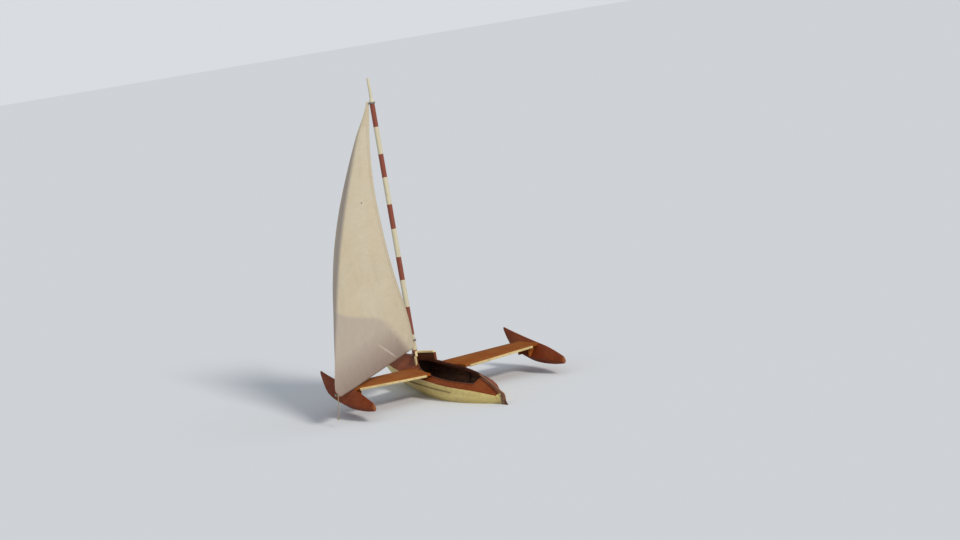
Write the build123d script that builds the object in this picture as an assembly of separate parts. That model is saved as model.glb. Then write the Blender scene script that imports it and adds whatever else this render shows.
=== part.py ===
"""Small home-built sailing trimaran dinghy: a slim cockpit hull, two floats on board wings, and one sail.

Millimetres. +X is forward, +Y is port, +Z is up. The origin is amidships on the centreline, at the waterline.
"""
import math
import os

from build123d import *

os.makedirs("parts", exist_ok=True)

# Main hull. Stations are measured forward from the stern, as drawn on the lines, and stretch with the length
LENGTH = 3150.0
PLANK = 7.0
DECK_PITCH = 0.58
KEEL_HALF = 9.0
KEEL_DROP = 20.0
KEEL_RISE = 24.0
SPAN_PARTS = 2
# station, then half beam and height of the sheer, knuckle and bilge, and the keel's height
HULL_LINES = [
    (0.0, 14.0, 78.0, 14.0, 52.0, 12.0, 12.0, -18.0),
    (59.85, 38.0, 93.0, 34.0, 55.0, 24.0, 10.0, -25.0),
    (400.05, 170.0, 150.0, 166.0, 90.0, 150.0, -18.0, -62.0),
    (800.1, 262.0, 178.0, 258.0, 112.0, 238.0, -28.0, -95.0),
    (1200.15, 295.0, 209.0, 288.0, 131.0, 236.0, -30.0, -112.0),
    (1600.2, 288.0, 232.0, 276.0, 144.0, 182.0, -24.0, -108.0),
    (2050.65, 258.0, 250.0, 238.0, 160.0, 104.0, -5.0, -78.0),
    (2501.1, 196.0, 285.0, 168.0, 194.0, 56.0, 60.0, -5.0),
    (2901.15, 100.0, 340.0, 80.0, 262.0, 34.0, 168.0, 115.0),
    (3058.65, 44.0, 376.0, 38.0, 310.0, 25.0, 248.0, 212.0),
    (3150.0, 12.0, 400.0, 11.0, 372.0, 10.0, 350.0, 332.0),
]

# The hull lies between these heights and within this half width
HULL_LOW = -200.0
HULL_HIGH = 800.0
HULL_SPACE = 400.0

# Cockpit
COCKPIT_AFT = 470.0
COCKPIT_AFT_HALF = 100.0
COCKPIT_WIDE_AT = 1200.0
COCKPIT_HALF = 220.0
COCKPIT_POINT = 2070.0
COCKPIT_AFT_FULL = 0.76
COCKPIT_FORE_FULL = 0.66
COCKPIT_FORE_MID = 0.62
# How much farther forward the coaming's point lies than its thickness
POINT_GROW = 2.2
COAMING = 9.0
COAMING_UP = 12.0
COAMING_DOWN = 30.0
COAMING_STEP = 150.0
SPLASH_START = 1838.0
SPLASH_TOP = 452.0
SPLASH_CAP = 24.0
SPLASH_CAP_OVER = 8.0
SPLASH_POST = 32.0
SIDE_DECK_END = 1900.0
BULKHEAD = 9.0
FORE_BULKHEAD = 2260.0
FRAME_AT = 1275.0
NEAR_CREW = (1000.0, 2600.0)
FRAME_WEB = 26.0
FLOOR_HEIGHT = 6.0
FLOOR = 8.0
SEAT_HEIGHT = 112.0
SEAT = 12.0
SEAT_LONG = 230.0
RUB_SHARE = 0.17
RUB_OUT = 7.0
RUB_FROM = 760.0
RUB_TO = 2400.0

# Mast, raked a little forward
MAST_AT = 2127.0
MAST_TOP = 3767.0
MAST_RAKE = 0.0115
MAST_R = 33.0
MAST_HEAD_R = 30.0
MAST_TIP_R = 18.0
MAST_TOP_R = 15.0
MAST_SHOULDER = 30.0
MAST_CLEAR = 0.3
STEP_LONG = 150.0
STEP_HALF = 60.0
STEP_UP = 45.0
STEP_OVER_KEEL = 2.0
COLLAR_R = 50.0
COLLAR_UP = 20.0
COLLAR_DOWN = 20.0

# Wings, from the coaming to the floats
WING_AFT = 1259.0
WING_ROOT_FORE = 1915.0
WING_TIP_FORE = 1700.0
WING_ROOT_TOP = 294.0
WING_DIHEDRAL = 0.046
WING = 30.0
WING_EDGE = 18.0
WING_EDGE_TALL = 26.0
WING_EDGE_DOWN = 12.0
EDGE_ROOT = 288.0
EDGE_END = 1140.0
WING_INNER = 160.0
BEARER = 60.0
BEARER_END = 262.0
BEARER_TALL = 120.0
BRACKET = 24.0
BRACKET_WIDE = 130.0
BRACKET_TALL = 110.0
FROM_EDGE = 60.0

# Floats
FLOAT_Y = 1236.0
FLOAT_RIDGE_HALF = 5.0
# station, half beam, knuckle height, ridge height, keel height
FLOATS = [
    (703.0, 20.0, 160.0, 214.0, 131.0),
    (900.0, 76.0, 171.0, 268.0, 108.0),
    (1100.0, 104.0, 180.0, 312.0, 98.0),
    (1280.0, 115.0, 188.0, 338.0, 97.0),
    (1500.0, 116.0, 205.0, 370.0, 114.0),
    (1800.0, 88.0, 262.0, 418.0, 190.0),
    (2000.0, 44.0, 352.0, 452.0, 318.0),
    (2130.0, 12.0, 455.0, 478.0, 438.0),
]

# Sail, set to port: how far its two edges lie from the mast's axis, by shares of its height
SAIL = 6.0
SAIL_FOOT_ANGLE = 52.0
SAIL_TWIST = 32.0
TACK_HEIGHT = 500.0
HEAD_HEIGHT = 3490.0
CLEW_HEIGHT = 335.0
SAIL_EDGES = [
    (0.0, 30.0, 2020.0),
    (0.125, 40.0, 1709.0),
    (0.25, 108.0, 1445.0),
    (0.375, 167.0, 1236.0),
    (0.5, 190.0, 1027.0),
    (0.625, 195.0, 803.0),
    (0.75, 168.0, 563.0),
    (0.875, 110.0, 320.0),
    (1.0, 42.0, 75.0),
]
CHORD_PARTS = 8
FOOT_CAMBER = 0.02
SAIL_CAMBER = 0.07
CAMBER_FULL_AT = 0.3
# The tack is drawn to one side of the mast, less and less up to a share of the height
TACK_ASIDE = 32.0
ASIDE_UP_TO = 0.3

# Foot of the sail, cut to a curve with two rounded corners
FOOT_DROP = 40.0
FOOT_ROUND = 26.0
FOOT_WASTE = 200.0
TACK_ROUND = 60.0
CLEW_LONG = 150.0
CLEW_CORNER = (1960.0, 372.0)
CLEW_UP = 100.0

# Rings that hold the sail
RING = 7.0
RING_TALL = 22.0
LUG_GRIP = 9.0
LUG_WIDE = 14.0
CLEW_RING_R = 16.0
CLEW_RING_HOLE_R = 9.0
CLEW_RING_WIDE = 12.0

# Rudder
RUDDER_PIN_AT = -20.0
PIN_R = 4.0
PIN_CLEAR = 0.08
BLADE = 12.0
BLADE_TOP = 60.0
BLADE_LOW = -298.0
BLADE_FRONT = 14.0
BLADE_BACK = 175.0
BLADE_ROUND = 30.0
HEAD_HALF = 14.0
HEAD_LOW = -28.0
HEAD_TOP = 108.0
HEAD_AFT = 60.0
HEAD_FORE = 9.0
GUDGEON_LOW = 8.0
GUDGEON_HIGH = 62.0
GUDGEON_TALL = 14.0
GUDGEON_WALL = 5.0
GUDGEON_ROOM = 12.0
TILLER_LONG = 470.0
TILLER = 18.0
TILLER_PITCH = 0.385

# Play between pieces that move past each other, and the overlap of a cut
PLAY = 1.0


def along(drawn):
    """Station on the hull for a station as drawn."""
    return drawn * LENGTH / HULL_LINES[-1][0]


STERN_END, *HULL, BOW_END = [(along(drawn), *sizes) for drawn, *sizes in HULL_LINES]
cockpit_aft, cockpit_wide_at, cockpit_point = along(COCKPIT_AFT), along(COCKPIT_WIDE_AT), along(COCKPIT_POINT)
splash_start, side_deck_end = along(SPLASH_START), along(SIDE_DECK_END)
frame_at, fore_bulkhead_at, mast_at = along(FRAME_AT), along(FORE_BULKHEAD), along(MAST_AT)
rub_from, rub_to = along(RUB_FROM), along(RUB_TO)
wing_aft, wing_root_fore, wing_tip_fore = along(WING_AFT), along(WING_ROOT_FORE), along(WING_TIP_FORE)


def x_at(station):
    return station - LENGTH / 2


def fair(table, station):
    """Row of a table at a station: a cubic through the rows, with slopes from their neighbours."""
    count = len(table)
    i = max(k for k in range(count - 1) if table[k][0] <= station or k == 0)
    low, high = table[i], table[i + 1]
    before, after = table[max(i - 1, 0)], table[min(i + 2, count - 1)]
    width = high[0] - low[0]
    u = (station - low[0]) / width
    row = [station]
    for a, b, c, d in zip(before[1:], low[1:], high[1:], after[1:]):
        slope_low = (c - a) / (high[0] - before[0])
        slope_high = (d - b) / (after[0] - low[0])
        row.append(
            (2 * u**3 - 3 * u**2 + 1) * b
            + (u**3 - 2 * u**2 + u) * width * slope_low
            + (3 * u**2 - 2 * u**3) * c
            + (u**3 - u**2) * width * slope_high
        )
    return tuple(row)


def stations_of(table):
    """Stations of the table with each span cut into equal parts."""
    marks = [table[0][0]]
    for low, high in zip(table, table[1:]):
        marks += [low[0] + (high[0] - low[0]) * k / SPAN_PARTS for k in range(1, SPAN_PARTS + 1)]
    return marks


def lerp(a, b, u):
    return tuple(p + (q - p) * u for p, q in zip(a, b))


def outer_half(row):
    """Port half of a hull section, from the ridge down to the side of the keel."""
    _, half, sheer, knuckle_y, knuckle_z, bilge_y, bilge_z, keel = row
    at_keel = keel + (bilge_z - keel) * KEEL_HALF / bilge_y
    return [
        (0.0, sheer + DECK_PITCH * half),
        (half, sheer),
        (knuckle_y, knuckle_z),
        (bilge_y, bilge_z),
        (KEEL_HALF, at_keel),
    ]


def inner_half(points, wall):
    """The same half section, one wall thickness inside."""
    lines = []
    for (ya, za), (yb, zb) in zip(points, points[1:]):
        length = math.hypot(yb - ya, zb - za)
        ny, nz = (zb - za) / length, -(yb - ya) / length
        lines.append(((ya + ny * wall, za + nz * wall), (yb - ya, zb - za)))
    inside = [(0.0, lines[0][0][1] - lines[0][0][0] * lines[0][1][1] / lines[0][1][0])]
    for (p, d), (q, e) in zip(lines, lines[1:]):
        cross = d[0] * e[1] - d[1] * e[0]
        u = ((q[0] - p[0]) * e[1] - (q[1] - p[1]) * e[0]) / cross
        inside.append((p[0] + d[0] * u, p[1] + d[1] * u))
    p, d = lines[-1]
    inside.append((KEEL_HALF, p[1] + d[1] * (KEEL_HALF - p[0]) / d[0]))
    return inside


HULL_MARKS = stations_of(HULL)
OUTER = {mark: outer_half(fair(HULL, mark)) for mark in HULL_MARKS}
INNER = {mark: inner_half(points, PLANK) for mark, points in OUTER.items()}


def half_at(halves, station):
    """A half section between the marks, in line with its neighbours as the planks are."""
    for low, high in zip(HULL_MARKS, HULL_MARKS[1:]):
        if low <= station <= high:
            u = (station - low) / (high - low)
            return [lerp(a, b, u) for a, b in zip(halves[low], halves[high])]
    raise ValueError(station)


def marks_between(first, last):
    return [first] + [mark for mark in HULL_MARKS if first < mark < last] + [last]


def loft_sections(sections):
    """Straight loft through closed sections, each a station and its (y, z) points."""
    wires = [
        Wire.make_polygon([Vector(x_at(station), y, z) for y, z in points], close=True)
        for station, points in sections
    ]
    return Solid.make_loft(wires, ruled=True)


def folded_loft(rings):
    """Solid through closed rings of points, with each side panel folded along a diagonal to be flat."""
    faces = [Face(Wire.make_polygon(ring, close=True)) for ring in (rings[0], rings[-1])]
    for low, high in zip(rings, rings[1:]):
        for k in range(len(low)):
            a, b, c, d = low[k - 1], low[k], high[k], high[k - 1]
            if a.Z < b.Z:
                a, b, c, d = b, a, d, c
            faces.append(Face(Wire.make_polygon([a, b, c], close=True)))
            faces.append(Face(Wire.make_polygon([a, c, d], close=True)))
    return Solid(Shell(faces))


def folded_sections(sections):
    """The same through sections that are each a station and its (y, z) points."""
    return folded_loft([[Vector(x_at(station), y, z) for y, z in points] for station, points in sections])


def mirrored(shape):
    return shape.mirror(Plane.XZ)


def strake(first, last, upper, lower):
    """Plank between two corners of the half section, mitred into its neighbours."""
    sections = []
    for station in marks_between(first, last):
        out, inn = half_at(OUTER, station), half_at(INNER, station)
        sections.append((station, [out[upper], out[lower], inn[lower], inn[upper]]))
    return loft_sections(sections)


def whole_section(half):
    return half + [(-y, z) for y, z in reversed(half) if y > 0]


def inside_volume(first, last):
    return loft_sections(
        [(station, whole_section(half_at(INNER, station))) for station in marks_between(first, last)]
    )


def slab(x0, x1, y0, y1, z0, z1):
    box = Box(x1 - x0, y1 - y0, z1 - z0, align=(Align.MIN, Align.MIN, Align.MIN))
    return box.moved(Location((x0, y0, z0)))


def block(first, last, y0, y1, z0, z1):
    return slab(x_at(first), x_at(last), y0, y1, z0, z1)


def cockpit_outline(grow):
    """Plan of the cockpit opening: pointed at the mast, wide amidships and square aft."""
    aft, wide = x_at(cockpit_aft) - grow, x_at(cockpit_wide_at)
    point = x_at(cockpit_point) + POINT_GROW * grow
    corner, half = COCKPIT_AFT_HALF + grow, COCKPIT_HALF + grow
    mid_aft = Vector((aft + wide) / 2, corner + COCKPIT_AFT_FULL * (half - corner))
    mid_fore = Vector(wide + COCKPIT_FORE_MID * (point - wide), COCKPIT_FORE_FULL * half)
    port_aft = ThreePointArc(Vector(aft, corner), mid_aft, Vector(wide, half))
    port_fore = ThreePointArc(Vector(wide, half), mid_fore, Vector(point, 0))
    other = [edge.mirror(Plane.XZ) for edge in (port_aft, port_fore)]
    return Wire([port_aft.edge(), port_fore.edge(), other[1].edge(), other[0].edge(),
                 Edge.make_line(Vector(aft, -corner), Vector(aft, corner))])


def cockpit_prism(grow, low=HULL_LOW, high=HULL_HIGH):
    return extrude(Face(cockpit_outline(grow)), high - low, dir=(0, 0, 1)).moved(Location((0, 0, low)))


def cockpit_half_at(station):
    """Half width of the cockpit opening at a station, from its plan."""
    ray = Edge.make_line(Vector(x_at(station), 0, 0), Vector(x_at(station), 2 * COCKPIT_HALF, 0))
    hits = [edge.distance_to_with_closest_points(ray) for edge in cockpit_outline(COAMING).edges()]
    near = min(hits, key=lambda hit: hit[0])
    return near[1].Y


def deck_height(station, y):
    ridge, sheer = half_at(OUTER, station)[:2]
    return ridge[1] - (ridge[1] - sheer[1]) * y / sheer[0]


MAST_FOOT = half_at(INNER, mast_at + STEP_LONG / 2)[4][1] + KEEL_RISE + STEP_OVER_KEEL


def mast_axis(height):
    return Vector(x_at(mast_at) + MAST_RAKE * height, 0, height)


MAST_LINES = [
    (MAST_FOOT, MAST_R),
    (HEAD_HEIGHT, MAST_HEAD_R),
    (HEAD_HEIGHT + MAST_SHOULDER, MAST_TIP_R),
    (MAST_TOP, MAST_TOP_R),
]


def mast_radius(height):
    """Radius of the mast, which tapers slowly up to the sail's head and then has a thinner tip."""
    for (low, r_low), (high, r_high) in zip(MAST_LINES, MAST_LINES[1:]):
        if height <= high:
            return r_low + (r_high - r_low) * (height - low) / (high - low)
    raise ValueError(height)


def mast_piece(low, high, grow):
    """Length of the raked mast, turned from its profile and grown all round by a clearance."""
    heights = [low] + [row[0] for row in MAST_LINES if low < row[0] < high] + [high]
    profile = [(0.0, 0.0)] + [(mast_radius(z) + grow, z - low) for z in heights] + [(0.0, high - low)]
    face = Face(Wire.make_polygon([Vector(r, 0, z) for r, z in profile], close=True))
    foot = mast_axis(low)
    turned = revolve(face, Axis.Z).rotate(Axis.Y, math.degrees(math.atan(MAST_RAKE)))
    return turned.moved(Location((foot.X, foot.Y, foot.Z)))


def write(name, *shapes):
    solids = [solid for shape in shapes for solid in shape.solids()]
    export_step(Compound(children=solids) if len(solids) > 1 else solids[0], f"parts/{name}.step")


def both_sides(name, port_shape):
    write(f"{name}_port", port_shape)
    write(f"{name}_starboard", mirrored(port_shape))


# Hull planking
FIRST, LAST = HULL_MARKS[0], HULL_MARKS[-1]
both_sides("top_strake", strake(FIRST, LAST, 1, 2))
both_sides("bilge_strake", strake(FIRST, LAST, 2, 3))
both_sides("bottom_plank", strake(FIRST, LAST, 3, 4))


def keel_section(station, half_width):
    low, high = half_at(OUTER, station)[4][1], half_at(INNER, station)[4][1]
    bottom, top = low - KEEL_DROP, high + KEEL_RISE
    return [(half_width, top), (half_width, bottom), (-half_width, bottom), (-half_width, top)]


keel = loft_sections([(station, keel_section(station, KEEL_HALF)) for station in HULL_MARKS])
write("keel", keel)


def end_block(row, mark):
    """Solid end of the hull, from the last planked section to its narrow end."""
    inner_row = OUTER[mark]
    drop = (KEEL_HALF, inner_row[4][1] - KEEL_DROP)
    full = inner_row + [drop]
    narrow_half = outer_half(row)
    narrow_half[4] = (KEEL_HALF, row[7])
    narrow = narrow_half + [(KEEL_HALF, row[7] - 0.5 * KEEL_DROP)]
    ends = [(mark, whole_section(full)), (row[0], whole_section(narrow))]
    return folded_sections(sorted(ends))


stem = end_block(BOW_END, LAST)
sternpost = end_block(STERN_END, FIRST)
write("stem", stem)
write("sternpost", sternpost)

# Decks, cut for the cockpit and the mast
opening = cockpit_prism(COAMING, 0.0)
mast_hole = mast_piece(MAST_FOOT, HULL_HIGH, MAST_CLEAR)
both_sides("aft_deck", strake(FIRST, cockpit_aft, 0, 1) - opening)
both_sides("side_deck", strake(cockpit_aft, side_deck_end, 0, 1) - opening)
foredeck = strake(side_deck_end, LAST, 0, 1) - opening - mast_hole
both_sides("foredeck", foredeck)


# Bulkheads, frame, floor and seat inside the planking

def inside_piece(first, last):
    return inside_volume(first, last) - keel


aft_bulkhead = inside_piece(cockpit_aft - COAMING - BULKHEAD, cockpit_aft - COAMING)
fore_bulkhead = inside_piece(fore_bulkhead_at, fore_bulkhead_at + BULKHEAD)
write("aft_bulkhead", aft_bulkhead)
write("fore_bulkhead", fore_bulkhead)

frame_ends = (frame_at, frame_at + BULKHEAD)
frame_web = loft_sections([(s, whole_section(inner_half(half_at(INNER, s), FRAME_WEB))) for s in frame_ends])
above_floor = block(*frame_ends, -HULL_SPACE, HULL_SPACE, FLOOR_HEIGHT, HULL_HIGH)
frame = inside_piece(*frame_ends) - (frame_web & above_floor) - (opening & above_floor)
write("cockpit_frame", frame)

room = inside_volume(cockpit_aft - COAMING, fore_bulkhead_at)
floor_end = mast_at - STEP_LONG / 2
floor_top, seat_end = FLOOR_HEIGHT + FLOOR, cockpit_aft + SEAT_LONG
floor = room & block(cockpit_aft - COAMING, floor_end, -HULL_SPACE, HULL_SPACE, FLOOR_HEIGHT, floor_top)
write("cockpit_floor", floor - keel - frame)
seat = room & block(cockpit_aft, seat_end, -HULL_SPACE, HULL_SPACE, SEAT_HEIGHT, SEAT_HEIGHT + SEAT)
write("seat", seat)

# Coaming, low along the sides and rising to a pointed splash board behind the mast
step_count = int((cockpit_point - cockpit_aft) / COAMING_STEP)
TOP_MARKS = [cockpit_aft + PLAY + COAMING_STEP * k for k in range(step_count + 1)]


def coaming_edge(offset):
    return [(mark, deck_height(mark, cockpit_half_at(mark)) + offset) for mark in TOP_MARKS]


def side_profile(points, z_end):
    """Block as wide as the hull between a line of (station, height) points and a height."""
    first, last = 0.0, LENGTH
    line = [(first, points[0][1])] + points + [(last, points[-1][1])]
    corners = [Vector(x_at(s), 0, z) for s, z in line] + [
        Vector(x_at(last), 0, z_end), Vector(x_at(first), 0, z_end)
    ]
    face = Face(Wire.make_polygon(corners, close=True))
    return extrude(face, HULL_SPACE, dir=(0, 1, 0), both=True)


upper = [(s, z) for s, z in coaming_edge(COAMING_UP) if s < splash_start]
upper += [(splash_start, upper[-1][1]), (splash_start, SPLASH_TOP), (cockpit_point, SPLASH_TOP)]
lower = coaming_edge(-COAMING_DOWN)
ring = opening - cockpit_prism(0.0)
coaming = ring - side_profile(upper, HULL_HIGH) - side_profile(lower, HULL_LOW)
cap_low = SPLASH_TOP - SPLASH_CAP
cap_zone = block(splash_start, LENGTH, -HULL_SPACE, HULL_SPACE, cap_low, HULL_HIGH)
port_side = block(0.0, LENGTH, 0.0, HULL_SPACE, HULL_LOW, HULL_HIGH)
rail = cockpit_prism(COAMING + SPLASH_CAP_OVER, cap_low, SPLASH_TOP)
splash_cap = (rail - cockpit_prism(-SPLASH_CAP_OVER, cap_low, SPLASH_TOP) - mast_hole) & cap_zone
coaming = coaming - cap_zone - mast_hole
both_sides("coaming", coaming & port_side)
both_sides("splash_cap", splash_cap & port_side)

# Upright posts at the aft ends of the splash board, standing on the decks
post_y = cockpit_half_at(splash_start + SPLASH_POST)
post_low = deck_height(splash_start, post_y + SPLASH_POST) - SPLASH_POST
post_end = splash_start + SPLASH_POST
post = block(splash_start, post_end, post_y - COAMING, post_y + SPLASH_POST, post_low, cap_low)
near_marks = marks_between(*map(along, NEAR_CREW))
near_hull = loft_sections([(s, whole_section(half_at(OUTER, s))) for s in near_marks])
both_sides("splash_post", post - near_hull - opening)

# Mast, its step and its deck collar
write("mast", mast_piece(MAST_FOOT, MAST_TOP, 0.0))
mast_room = inside_volume(mast_at - STEP_LONG, mast_at + STEP_LONG)
step_space = block(mast_at - STEP_LONG / 2, mast_at + STEP_LONG / 2, -STEP_HALF, STEP_HALF, HULL_LOW, STEP_UP)
write("mast_step", (mast_room & step_space) - keel - mast_hole)
collar_low = deck_height(mast_at, 0.0) - COLLAR_DOWN
collar = Cylinder(COLLAR_R, COLLAR_UP + COLLAR_DOWN, align=(Align.CENTER, Align.CENTER, Align.MIN))
collar = collar.moved(Location((mast_axis(collar_low).X, 0, collar_low)))
collar = collar - near_hull - mast_hole - opening
write("mast_collar", collar)

# Rubbing strip along the knuckle, as a share of the strake so that it lies on it
strip = []
for station in marks_between(rub_from, rub_to):
    out = half_at(OUTER, station)
    (ya, za), (yb, zb) = out[1], out[2]
    top_y, top_z = lerp(out[2], out[1], RUB_SHARE)
    length = math.hypot(ya - yb, za - zb)
    side_y, side_z = (za - zb) / length * RUB_OUT, (yb - ya) / length * RUB_OUT
    outer = [(top_y + side_y, top_z + side_z), (yb + side_y, zb + side_z)]
    strip.append((station, [(yb, zb), (top_y, top_z), *outer]))
write("rubbing_strips", loft_sections(strip), mirrored(loft_sections(strip)))


# Floats
def float_half(row):
    _, half, knuckle, ridge, keel_z = row
    r = min(FLOAT_RIDGE_HALF, 0.4 * half)
    return half, knuckle, ridge, keel_z, r


def float_loft(part):
    sections = []
    for mark in stations_of(FLOATS):
        half, knuckle, ridge, keel_z, r = float_half(fair(FLOATS, mark))
        if part == "deck":
            points = [(half, knuckle), (r, ridge), (-r, ridge), (-half, knuckle)]
        else:
            points = [(half, knuckle), (-half, knuckle), (-r, keel_z), (r, keel_z)]
        sections.append((along(mark), [(FLOAT_Y + y, z) for y, z in points]))
    return folded_sections(sections)


float_deck, float_hull = float_loft("deck"), float_loft("hull")
both_sides("float_deck", float_deck)
both_sides("float_hull", float_hull)


# Wings
def wing_top(y):
    return WING_ROOT_TOP + WING_DIHEDRAL * (y - COCKPIT_HALF)


def wing_slab(plan, thick, lift):
    """Board with the wing's slope, from its plan of (station, y) points."""
    top = [Vector(x_at(s), y, wing_top(y) + lift) for s, y in plan]
    bottom = [Vector(x_at(s), y, wing_top(y) + lift - thick) for s, y in plan]
    wires = [Wire.make_polygon(points, close=True) for points in (bottom, top)]
    return Solid.make_loft(wires, ruled=True)


tip = FLOAT_Y
inner = WING_INNER
edge_fore = wing_aft + WING_EDGE
panel_plan = [(edge_fore, inner), (edge_fore, tip), (wing_tip_fore, tip), (wing_root_fore, inner)]
edge_plan = [(wing_aft, EDGE_ROOT), (wing_aft, EDGE_END), (edge_fore, EDGE_END), (edge_fore, EDGE_ROOT)]
wing = wing_slab(panel_plan, WING, 0.0) - opening - near_hull - float_deck
wing_edge = wing_slab(edge_plan, WING_EDGE_TALL, -WING_EDGE_DOWN) - opening - near_hull - float_deck
wing = max(wing.solids(), key=lambda s: s.volume)
wing_edge = max(wing_edge.solids(), key=lambda s: s.volume)
both_sides("wing", wing)
both_sides("wing_edge", wing_edge)

# Bearers that carry the wings on the side decks
bearers = []
for first in (wing_aft + FROM_EDGE, wing_root_fore - FROM_EDGE - BEARER):
    plan = [(first, inner), (first, BEARER_END), (first + BEARER, BEARER_END), (first + BEARER, inner)]
    bearer = wing_slab(plan, BEARER_TALL, -WING) - near_hull - opening
    bearers.append(max(bearer.solids(), key=lambda s: s.volume))
both_sides("wing_bearers", Compound(children=bearers))

# Brackets under the wing tips on the floats
brackets = []
bracket_end = tip - BRACKET_WIDE
for first in (wing_aft + FROM_EDGE, wing_tip_fore - 2 * FROM_EDGE):
    plan = [(first, bracket_end), (first, tip), (first + BRACKET, tip), (first + BRACKET, bracket_end)]
    bracket = wing_slab(plan, BRACKET_TALL, -WING) - float_deck - float_hull
    brackets.append(max(bracket.solids(), key=lambda s: s.volume))
both_sides("wing_brackets", Compound(children=brackets))


# Sail, its rings and its clew ring
def sail_across(u):
    angle = math.radians(SAIL_FOOT_ANGLE + SAIL_TWIST * max(u, 0.0))
    return Vector(-math.sin(angle), -math.cos(angle), 0)


def sail_point(u, s):
    """Point of the sail's middle at a share of its height and a share of its chord."""
    angle = math.radians(SAIL_FOOT_ANGLE + SAIL_TWIST * max(u, 0.0))
    camber = FOOT_CAMBER + (SAIL_CAMBER - FOOT_CAMBER) * min(1.0, max(u, 0.0) / CAMBER_FULL_AT)
    _, luff_out, leech_out = fair(SAIL_EDGES, u)
    luff_z = TACK_HEIGHT + u * (HEAD_HEIGHT - TACK_HEIGHT)
    leech_z = CLEW_HEIGHT + u * (HEAD_HEIGHT - CLEW_HEIGHT)
    out = luff_out + s * (leech_out - luff_out)
    belly = camber * (leech_out - luff_out) * 4 * s * (1 - s) * (1.25 - 0.5 * s)
    aside = TACK_ASIDE * max(0.0, 1 - u / ASIDE_UP_TO) * (1 - s)
    along = Vector(-math.cos(angle), math.sin(angle), 0)
    return mast_axis(luff_z + s * (leech_z - luff_z)) + along * out + sail_across(u) * (aside - belly)


def sail_ring(u):
    """Closed cross section of the cloth, along one face and back along the other."""
    middle = [sail_point(u, k / CHORD_PARTS) for k in range(CHORD_PARTS + 1)]
    half = sail_across(u) * (SAIL / 2)
    return [point + half for point in middle] + [point - half for point in reversed(middle)]


def foot_waste():
    """What lies outside the foot's curve and its two rounded corners, as a thick plate along the sail."""
    angle = math.radians(SAIL_FOOT_ANGLE)
    plane = Plane(origin=mast_axis(0.0), x_dir=(-math.cos(angle), math.sin(angle), 0),
                  z_dir=(math.sin(angle), math.cos(angle), 0))
    sign = 1.0 if plane.y_dir.Z > 0 else -1.0
    luff, clew = SAIL_EDGES[0][1:]
    line = [
        (luff - PLAY, TACK_HEIGHT + TACK_ROUND), (luff + 0.22 * TACK_ROUND, TACK_HEIGHT + 0.25 * TACK_ROUND),
        (luff + TACK_ROUND, TACK_HEIGHT), ((luff + clew) / 2, (TACK_HEIGHT + CLEW_HEIGHT) / 2 - FOOT_ROUND),
        (clew - CLEW_LONG, CLEW_HEIGHT), CLEW_CORNER, (clew, CLEW_HEIGHT + CLEW_UP),
    ]
    points = [Vector(out, sign * height) for out, height in line]
    curve = [ThreePointArc(points[k], points[k + 1], points[k + 2]).edge() for k in (0, 2, 4)]
    low, far = sign * (CLEW_HEIGHT - FOOT_WASTE), clew + FOOT_WASTE
    ends = [points[-1], Vector(far, points[-1].Y), Vector(far, low), Vector(-MAST_R, low),
            Vector(-MAST_R, points[0].Y), points[0]]
    sides = [Edge.make_line(a, b) for a, b in zip(ends, ends[1:])]
    face = plane * Face(Wire(curve + sides))
    return extrude(face, FOOT_WASTE, both=True, dir=plane.z_dir)


foot_u = -FOOT_DROP / (HEAD_HEIGHT - TACK_HEIGHT)
rows = [foot_u] + [row[0] for row in SAIL_EDGES[1:]]
sail = (folded_loft([sail_ring(u) for u in rows]) - foot_waste()).solids()[0]
write("sail", sail)


def largest(shape):
    return max(shape.solids(), key=lambda solid: solid.volume)


def mast_ring(height):
    """Ring round the mast with a forked lug that takes the sail's luff."""
    at = mast_axis(height)
    to_luff = sail_point((height - TACK_HEIGHT) / (HEAD_HEIGHT - TACK_HEIGHT), 0.0) - at
    inner_r = mast_radius(height - RING_TALL) + MAST_CLEAR
    reach = to_luff.length + LUG_GRIP
    lug = Box(reach - inner_r - PLAY, LUG_WIDE, RING_TALL)
    lug = lug.moved(Location(((reach + inner_r + PLAY) / 2, 0, 0)))
    lug = lug.rotate(Axis.Z, math.degrees(math.atan2(to_luff.Y, to_luff.X)))
    ring_body = Cylinder(inner_r + RING, RING_TALL) + lug - Cylinder(inner_r, RING_TALL)
    return ring_body.rotate(Axis.Y, math.degrees(math.atan(MAST_RAKE))).moved(Location((at.X, at.Y, at.Z)))


write("head_ring", largest(mast_ring(HEAD_HEIGHT - RING_TALL) - sail))
write("tack_ring", largest(mast_ring(TACK_HEIGHT + TACK_ROUND + RING_TALL) - sail))

# The clew ring straddles the corner where the cloth's lowest two rows meet the leech
low_end, high_end = sail_point(rows[0], 1.0), sail_point(rows[1], 1.0)
clew_at = low_end + (high_end - low_end) * ((CLEW_CORNER[1] - low_end.Z) / (high_end.Z - low_end.Z))
clew_ring = Cylinder(CLEW_RING_R, CLEW_RING_WIDE) - Cylinder(CLEW_RING_HOLE_R, CLEW_RING_WIDE)
clew_ring = clew_ring.rotate(Axis.X, 90).rotate(Axis.Z, -SAIL_FOOT_ANGLE)
write("clew_ring", largest(clew_ring.moved(Location((clew_at.X, clew_at.Y, clew_at.Z))) - sail))


# Rudder on two gudgeons
def pin_cylinder(radius, low, high):
    return Cylinder(radius, high - low, align=(Align.CENTER, Align.CENTER, Align.MIN)).moved(
        Location((x_at(RUDDER_PIN_AT), 0, low))
    )


gudgeons = []
for low in (GUDGEON_LOW, GUDGEON_HIGH):
    high = low + GUDGEON_TALL
    arm = block(RUDDER_PIN_AT, 0.0, -GUDGEON_WALL, GUDGEON_WALL, low, high)
    eye = pin_cylinder(PIN_R + GUDGEON_WALL, low, high) + arm
    gudgeons.append(largest(eye - pin_cylinder(PIN_R + PIN_CLEAR, low, high) - sternpost))
write("gudgeons", *gudgeons)

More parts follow.
